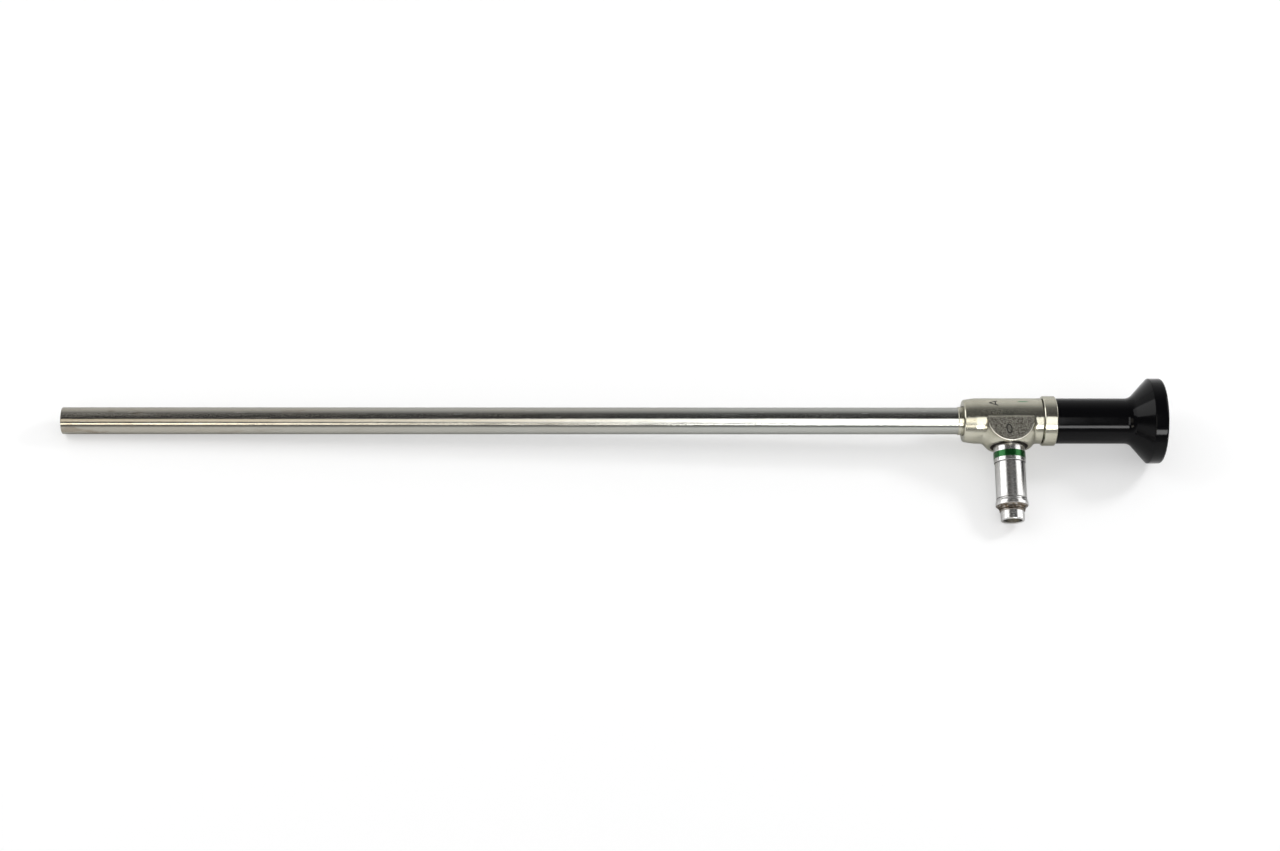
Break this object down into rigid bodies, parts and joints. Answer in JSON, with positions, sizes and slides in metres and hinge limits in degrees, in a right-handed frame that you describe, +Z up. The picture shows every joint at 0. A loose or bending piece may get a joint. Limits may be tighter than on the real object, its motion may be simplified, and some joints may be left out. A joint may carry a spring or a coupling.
{
  "type": "rigid endoscope",
  "caption": "Rigid rod-lens endoscope: long slim insertion tube, housing with light post and locking ring, flared black eyepiece.",
  "frame": {"origin": "on the surface it lies on, under the middle of its bounding box", "axes": "+X from the tip towards the eyepiece, light post towards -Y, +Z up"},
  "size_m": [0.4094, 0.0544, 0.0319],
  "materials": {
    "tube_steel": "satin",
    "housing_steel": "satin, bead-blasted flats",
    "polished_steel": "polished",
    "colour_ring": "gloss green",
    "brass": "satin",
    "black_eyepiece": "semi-gloss black",
    "black_anodised": "black anodised",
    "optical_glass": "polished and coated",
    "fibre_glass": "polished fibre ends",
    "seal_rubber": "matte",
    "ring_steel": "satin"
  },
  "bodies": {
    "root": {"outer_tube": "tube_steel", "inner_tube": "tube_steel", "body_housing": "housing_steel", "tube_ferrule": "housing_steel", "locking_ring": "housing_steel", "light_post": "polished_steel", "adapter_sleeve": "polished_steel", "adapter_shoulder": "polished_steel", "connector_tip": "polished_steel", "colour_ring": "colour_ring", "fibre_ferrule": "brass", "eyepiece_cup": "black_eyepiece", "objective_cell": "black_anodised", "objective_spacer": "black_anodised", "ocular_housing": "black_anodised", "stop_spacer": "black_anodised", "field_stop": "black_anodised", "ocular_spacer_front": "black_anodised", "ocular_spacer_rear": "black_anodised", "ocular_retainer": "black_anodised", "relay_spacer_1": "black_anodised", "relay_spacer_2": "black_anodised", "relay_spacer_3": "black_anodised", "relay_spacer_4": "black_anodised", "relay_spacer_5": "black_anodised", "distal_window": "optical_glass", "negative_lens": "optical_glass", "objective_rod": "optical_glass", "objective_doublet": "optical_glass", "ocular_lens_front": "optical_glass", "ocular_lens_rear": "optical_glass", "eyepiece_window": "optical_glass", "rod_lens_1": "optical_glass", "rod_lens_2": "optical_glass", "rod_lens_3": "optical_glass", "rod_lens_4": "optical_glass", "rod_lens_5": "optical_glass", "rod_lens_6": "optical_glass", "relay_cap_1": "optical_glass", "relay_cap_2": "optical_glass", "relay_cap_3": "optical_glass", "relay_cap_4": "optical_glass", "relay_cap_5": "optical_glass", "relay_cap_6": "optical_glass", "fibre_bundle": "fibre_glass", "post_seal": "seal_rubber", "rear_seal": "seal_rubber", "window_seal": "seal_rubber", "window_ring": "ring_steel"}
  },
  "joints": []
}
